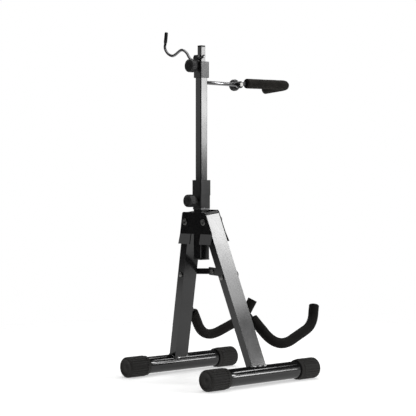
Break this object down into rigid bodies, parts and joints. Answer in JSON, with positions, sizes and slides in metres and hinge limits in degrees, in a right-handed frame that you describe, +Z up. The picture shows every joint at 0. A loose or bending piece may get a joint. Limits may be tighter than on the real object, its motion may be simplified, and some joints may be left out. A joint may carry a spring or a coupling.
{
  "type": "folding instrument stand",
  "caption": "Folding A-frame stand with padded cradle arms, a telescopic square mast, a padded neck crook and a wire bow hook.",
  "frame": {"origin": "centre of the bounding box on the floor, with the feet standing on Z = 0", "axes": "+Z up along the mast; -Y is the side the instrument rests on; +X is to the right seen from that side"},
  "size_m": [0.321, 0.3835, 0.7835],
  "materials": {
    "black_paint": "gloss black paint",
    "black_plastic": "satin",
    "cap_rubber": "matt, finely ribbed",
    "sleeve_rubber": "satin",
    "foam": "closed-cell foam, matt",
    "bright_steel": "polished",
    "zinc_steel": "zinc plated"
  },
  "bodies": {
    "head": {"head_plate_back": "black_paint", "head_plate_front": "black_paint", "head_web_back": "black_paint", "head_web_front": "black_paint", "mast_outer_tube": "black_paint", "mast_bottom_plug": "black_plastic", "lower_collar": "black_plastic", "pivot_bolt_left": "zinc_steel", "pivot_bolt_right": "zinc_steel", "pivot_nut_left": "zinc_steel", "pivot_nut_right": "zinc_steel"},
    "lower_clamp": {"lower_knob": "black_plastic", "lower_knob_stud": "zinc_steel"},
    "inner_mast": {"mast_inner_tube": "black_paint", "mast_guide_plug": "black_plastic", "upper_collar": "black_plastic", "yoke_rod": "bright_steel", "yoke_flange": "bright_steel"},
    "upper_clamp": {"upper_knob": "black_plastic", "upper_knob_stud": "zinc_steel"},
    "post": {"post_tube": "black_paint", "post_cap": "black_plastic", "bow_hook_wire": "bright_steel", "bow_hook_sleeve": "sleeve_rubber", "bow_hook_clip": "black_plastic"},
    "crook": {"crook_eye": "black_paint", "crook_rod": "black_paint", "crook_foam": "foam", "yoke_bolt": "zinc_steel"},
    "yoke_clamp": {"yoke_knob": "black_plastic"},
    "narrow_link": {"spreader_link_narrow": "black_paint", "spreader_rivet_tail": "zinc_steel"},
    "wide_link": {"spreader_link_wide": "black_paint", "spreader_rivet_head": "zinc_steel"},
    "leg_left": {"leg_tube_left": "black_paint", "leg_cap_left": "black_plastic", "foot_tube_left": "black_paint", "foot_cap_back_left": "cap_rubber", "foot_cap_front_left": "cap_rubber", "arm_pad_left": "black_paint", "arm_rod_left": "black_paint", "arm_foam_left": "foam", "link_bolt_left": "zinc_steel"},
    "leg_right": {"leg_tube_right": "black_paint", "leg_cap_right": "black_plastic", "foot_tube_right": "black_paint", "foot_cap_back_right": "cap_rubber", "foot_cap_front_right": "cap_rubber", "arm_pad_right": "black_paint", "arm_rod_right": "black_paint", "arm_foam_right": "foam", "link_bolt_right": "zinc_steel"}
  },
  "joints": [
    {"name": "right_leg_fold", "type": "hinge", "parent": "head", "child": "leg_right", "pos_m": [0.031, 0.0822, 0.356], "axis": [0, 0.9913, -0.1314], "range_deg": [0, 17.5]},
    {"name": "left_leg_fold", "type": "hinge", "parent": "head", "child": "leg_left", "pos_m": [-0.031, 0.0822, 0.356], "axis": [0, 0.9913, -0.1314], "range_deg": [-17.5, 0]},
    {"name": "narrow_link_fold", "type": "hinge", "parent": "leg_right", "child": "narrow_link", "pos_m": [0.06958, 0.04435, 0.2379], "axis": [0, 0.9913, -0.1314], "range_deg": [0, 53.65]},
    {"name": "wide_link_fold", "type": "hinge", "parent": "leg_left", "child": "wide_link", "pos_m": [-0.06958, 0.04435, 0.2379], "axis": [0, 0.9913, -0.1314], "range_deg": [-34.15, 0]},
    {"name": "mast_slide", "type": "slide", "parent": "head", "child": "inner_mast", "axis": [0, 0, 1], "range_m": [-0.008, 0.09]},
    {"name": "post_slide", "type": "slide", "parent": "inner_mast", "child": "post", "axis": [0, 0, 1], "range_m": [0, 0.1]},
    {"name": "lower_knob_turn", "type": "hinge", "parent": "head", "child": "lower_clamp", "pos_m": [0, 0.1039, 0.4], "axis": [0, 1, 0], "range_deg": [0, 720]},
    {"name": "upper_knob_turn", "type": "hinge", "parent": "inner_mast", "child": "upper_clamp", "pos_m": [0, 0.1039, 0.698], "axis": [0, 1, 0], "range_deg": [0, 720]},
    {"name": "crook_tilt", "type": "hinge", "parent": "inner_mast", "child": "crook", "pos_m": [0, -0.0271, 0.6632], "axis": [1, 0, 0], "range_deg": [-90, 90]},
    {"name": "yoke_knob_turn", "type": "hinge", "parent": "crook", "child": "yoke_clamp", "pos_m": [0.01, -0.0271, 0.6632], "axis": [1, 0, 0], "range_deg": [0, 720]}
  ],
  "couplings": [
    {"joint": "left_leg_fold", "follows": "right_leg_fold", "ratio": -1},
    {"joint": "narrow_link_fold", "follows": "right_leg_fold", "ratio": 3.0651},
    {"joint": "wide_link_fold", "follows": "right_leg_fold", "ratio": -1.9506}
  ]
}
